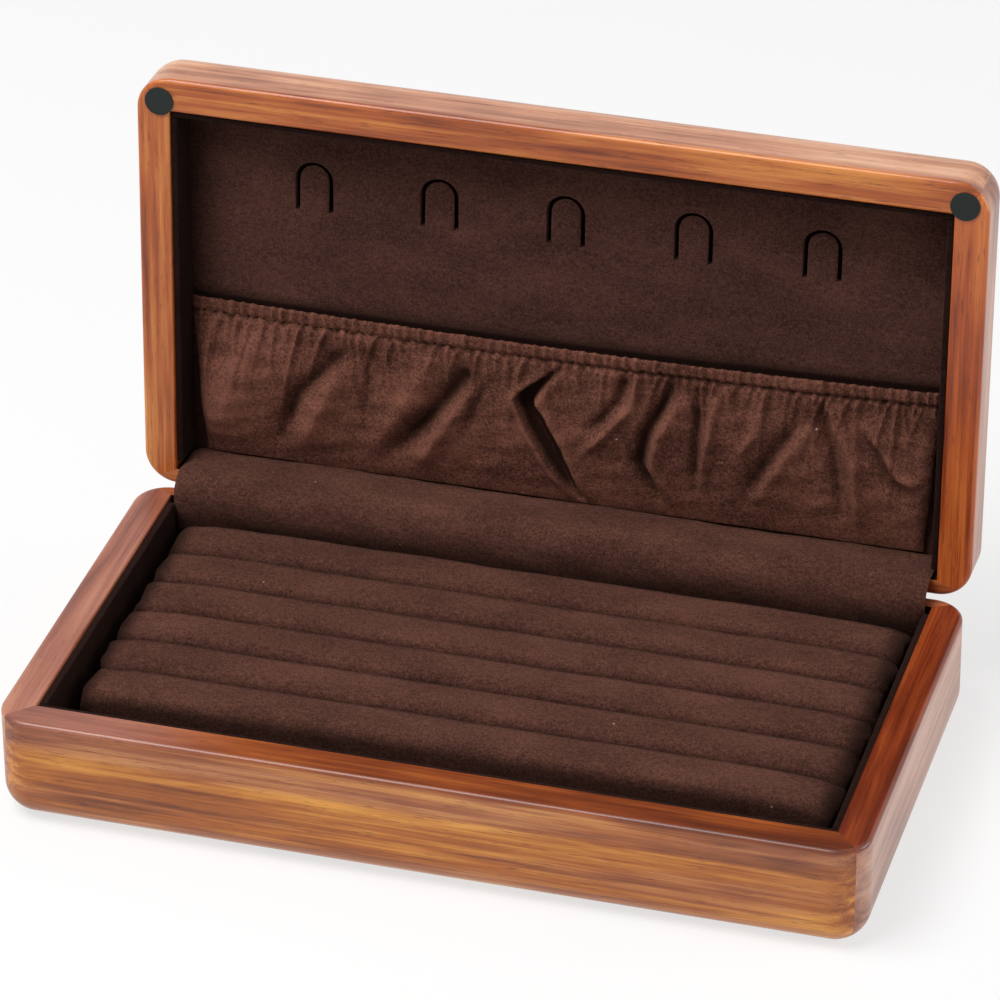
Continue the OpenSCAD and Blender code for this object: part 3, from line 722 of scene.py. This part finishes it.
def pocket_shape(across, walked):
    """The sheet's points as x, s and lift off the board, and the light and shade painted on them, less than
    0 in a hollow.

    The sheet is walked from 0 at the pocket's foot, by the stitches at share, to 1 at its hem's end.
    """
    share = 0.8
    below = walked <= share
    part = np.where(below, walked / share, (walked - share) / (1 - share))
    s = POCKET_FOOT + (STITCH_LINE - POCKET_FOOT) * np.where(below, part, 1)
    down = np.clip(STITCH_LINE - s, 0, None)
    drawn_in = 3.6 * np.sin(np.clip(down / 44, 0, 1) * math.pi / 2)
    half = HALF_MOUTH + 0.8 - drawn_in + 0.5 * soft_wave(np.stack([s, s * 0], 1), 14, 3)
    x = across * half
    ruffle = gathers(x, 0 * x, 12)
    hem_s, hem_lift = hem_shape(part, x, ruffle)
    s = np.where(below, s, hem_s)
    tall = np.clip((s - POCKET_FOOT) / (STITCH_LINE - POCKET_FOOT), 0, 1)
    belly = 1.7 + 2.6 * np.sin(math.pi * tall) ** 0.8
    ease = np.clip(np.minimum(tall * 6, (1 - tall) * 9 + 0.15), 0, 1)
    placed_s = s + mouth_shift(x) * tall
    folds = ease * (fold_lift(x, placed_s) + tuck_lift(x, placed_s))
    pleats = gathers(x, down)
    lift = belly + folds + 1.25 * pleats * np.clip(down / 0.9, 0, 1)
    lift += 0.22 * soft_wave(np.stack([x, s], 1), 5.5, 21) * ease
    lift += (VALLEY + 0.3 * ruffle - lift) * np.exp(-((down / 0.8) ** 2))
    lift = np.where(below, np.clip(lift, 0.85, 8.5), hem_lift)
    # Painted light and shade: ridges of folds, pleats and ruffles lighter, their hollows darker, dark pits
    # along the stitches, darker sides.
    painted_shading = folds / 4.5 + (pleats - 0.8) * np.exp(-down / 5) / 2.2
    pits = 0.35 + 0.3 * soft_wave(x[:, None], 2.6, 41)
    painted_shading = np.where(below, painted_shading - pits * np.exp(-((down / 1.0) ** 2)), (ruffle - 0.8) / 5)
    side = np.clip((half - abs(x)) / 3, 0, 1)
    lift = 0.95 + (lift - 0.95) * (0.35 + 0.65 * side ** 0.6)
    painted_shading -= 0.5 * (1 - np.clip((half - abs(x)) / 2.5, 0, 1))
    return x, s + mouth_shift(x) * tall, lift, painted_shading


def pocket():
    """Gathered pocket with its elastic hem, as one sheet turned over the elastic."""
    cloth, across, up = unit_grid("pocket_gathered", columns=416, rows=108)
    x, s, lift, painted_shading = pocket_shape(across, (up + 1) / 2)
    # The fold attribute carries the painted light and shade to the suede.
    marks = cloth.data.attributes.new("fold", "FLOAT", "POINT")
    marks.data.foreach_set("value", np.clip(0.5 + painted_shading / 2, 0, 1).astype(np.float32))
    place_points(cloth, on_lid(x, s, BOARD_DEPTH - lift))
    modified(cloth, "SOLIDIFY", thickness=0.55 * MM, offset=-1.0, use_even_offset=False)
    outwards(cloth)
    dress(cloth, POCKET_SUEDE, 70)
    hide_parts("pocket_cloth", "pocket_hem")
    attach(cloth, "lid")
    return cloth


def pocket_stitches():
    """Thread dashes sunk between the pleats, along the stitch line."""
    random = np.random.default_rng(8)
    made = []
    last = HALF_MOUTH - 3
    x = -last
    while x < last:
        length = random.uniform(1.0, 1.7)
        s = STITCH_LINE + mouth_shift(x)
        at = on_lid(np.array([x]), np.array([s]), np.array([BOARD_DEPTH - VALLEY - 0.15]))[0]
        bpy.ops.mesh.primitive_uv_sphere_add(segments=8, ring_count=5, radius=0.3 * MM, location=at * MM)
        bpy.context.object.scale = (length / 0.6, 1, 1)
        made.append(bpy.context.object)
        x += length + random.uniform(0.8, 1.9)
    bpy.ops.object.select_all(action="DESELECT")
    for dash in made:
        dash.select_set(True)
    bpy.context.view_layer.objects.active = made[0]
    bpy.ops.object.join()
    stitches = added("pocket_stitches")
    dress(stitches, THREAD)
    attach(stitches, "lid")
    return stitches


def ring_hook(index):
    """Suede tongue cut free of the lid's board on three sides, its covering running on over the root."""
    node = f"hook_{index}"
    x, s = lid_place(points(frame["nodes"][node]))
    middle, radius = (x.max() + x.min()) / 2, (x.max() - x.min()) / 2 - 0.3
    root, tip = s.min(), s.max() - 0.2
    skirt = 4.0
    tongue, across, up = unit_grid(node + "_tongue", columns=22, rows=44)
    turn = across * math.pi / 2
    rise = (up + 1) / 2
    arch = tip - radius + radius * np.cos(turn)
    x = radius * np.sin(turn)
    s = root - skirt + rise * (arch - root + skirt)
    edge = np.where(s > tip - radius, radius - np.hypot(x, s - tip + radius), radius - abs(x))
    free = np.clip((s - root) / (tip - root), 0, 1)
    sunk = np.clip((root - s) / skirt, 0, 1)
    lift = 0.12 - 0.65 * free ** 1.3 - 0.5 * np.exp(-np.clip(edge, 0, None) / 0.35) - 0.6 * sunk ** 2
    lift += 0.08 * soft_wave(np.stack([x, s], 1), 6, 60 + index)
    place_points(tongue, on_lid(middle + x, s, BOARD_DEPTH - lift))
    modified(tongue, "SOLIDIFY", thickness=1.6 * MM, offset=-1.0)
    outwards(tongue)
    dress(tongue, BOARD_SUEDE, 60)
    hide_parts(node)
    start, end = (on_lid(middle, root + along, BOARD_DEPTH) * MM for along in (-0.6, 1.6))
    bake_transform(tongue)


def finish_frame():
    """Gives each piece of the frame that stays its own finish."""
    for name, node in frame["nodes"].items():
        if name in BOARDS:
            finish = varnished_wood(name + "_wood", *BOARDS[name])
        elif "bumper" in name:
            finish = PAD
        elif "_hinge_" in name:
            finish = BRASS
        else:
            continue
        node.data.materials.clear()
        node.data.materials.append(finish)


def line_case():
    """Covers the liners, the boards and the tongues in suede."""
    for side in ("front", "left", "right"):
        covered_board(f"base_{side}_liner", "base", SHADED_SIDE_LINING, 0.5)
        covered_board(f"lid_{side}_liner", "lid", SHADED_SIDE_LINING, 0.5)
    covered_board("base_floor_board", "base", LINING, 0.4)
    covered_board("lid_board", "lid", BOARD_SUEDE, 0.35)
    for index in range(1, 6):
        ring_hook(index)


def set_camera():
    """The photograph's viewpoint: a camera at place, turned down by pitch, right by yaw and then rolled."""
    place = (0.4022, -1.3533, 0.9563)
    pitch, yaw, roll = 0.5521, -0.2860, -0.0083
    ahead = Vector((math.sin(yaw) * math.cos(pitch), math.cos(yaw) * math.cos(pitch), -math.sin(pitch)))
    level = Vector((math.cos(yaw), -math.sin(yaw), 0))
    upright = level.cross(ahead)
    right = math.cos(roll) * level + math.sin(roll) * upright
    up = math.cos(roll) * upright - math.sin(roll) * level
    camera = bpy.data.objects.new("camera", bpy.data.cameras.new("camera"))
    turn = Matrix((right, up, -ahead)).transposed().to_4x4()
    camera.matrix_world = Matrix.Translation(place) @ turn
    camera.data.sensor_width = 36
    camera.data.lens = 214.55
    bpy.context.scene.collection.objects.link(camera)
    bpy.context.scene.camera = camera


def softbox(name, place, towards, size, power):
    light = bpy.data.objects.new(name, bpy.data.lights.new(name, "AREA"))
    light.data.size = size
    light.data.energy = power
    place = Vector(place)
    turn = (Vector(towards) - place).to_track_quat("-Z", "Y")
    light.matrix_world = Matrix.Translation(place) @ turn.to_matrix().to_4x4()
    bpy.context.scene.collection.objects.link(light)


def white_to_lens(tree, seen, lit):
    """Strength that is seen by the camera and in gloss, and another that lights the rest."""
    path = tree.nodes.new("ShaderNodeLightPath")
    both = tree.nodes.new("ShaderNodeMath")
    both.operation = "MAXIMUM"
    tree.links.new(path.outputs["Is Camera Ray"], both.inputs[0])
    tree.links.new(path.outputs["Is Glossy Ray"], both.inputs[1])
    pick = tree.nodes.new("ShaderNodeMix")
    pick.inputs[2].default_value = lit
    pick.inputs[3].default_value = seen
    tree.links.new(both.outputs[0], pick.inputs[0])
    return pick.outputs[0]


def set_studio():
    """White surroundings, two soft lights and a white floor."""
    bpy.context.scene.view_settings.view_transform = "Standard"
    world = bpy.data.worlds.new("studio")
    bpy.context.scene.world = world
    world.use_nodes = True
    background = world.node_tree.nodes["Background"]
    background.inputs["Color"].default_value = (1, 1, 1, 1)
    world.node_tree.links.new(white_to_lens(world.node_tree, 1.0, 0.25), background.inputs["Strength"])
    softbox("key_softbox", (-0.5, -0.42, 1.35), (0, 0, 0.05), 0.9, 22)
    softbox("side_softbox", (1.1, 0.25, 0.35), (0, 0, 0.05), 0.6, 5)

    bpy.ops.mesh.primitive_plane_add(size=6, location=(0, 0, -0.2 * MM))
    floor = added("studio_floor")
    material = bpy.data.materials.new("white_floor")
    material.use_nodes = True
    tree = material.node_tree
    tree.nodes.clear()
    paper = tree.nodes.new("ShaderNodeBsdfDiffuse")
    paper.inputs["Color"].default_value = (0.86, 0.86, 0.86, 1)
    glow = tree.nodes.new("ShaderNodeEmission")
    glow.inputs["Strength"].default_value = 1.0
    mixed = tree.nodes.new("ShaderNodeMixShader")
    end = tree.nodes.new("ShaderNodeOutputMaterial")
    tree.links.new(white_to_lens(tree, 0.7, 0.0), mixed.inputs[0])
    tree.links.new(paper.outputs[0], mixed.inputs[1])
    tree.links.new(glow.outputs[0], mixed.inputs[2])
    tree.links.new(mixed.outputs[0], end.inputs["Surface"])
    floor.data.materials.append(material)


set_camera()
set_studio()
finish_frame()
line_case()
for number in range(1, 7):
    ring_roll(number, 100 * number)
hinge_cover()
cloth = pocket()
stitches = pocket_stitches()
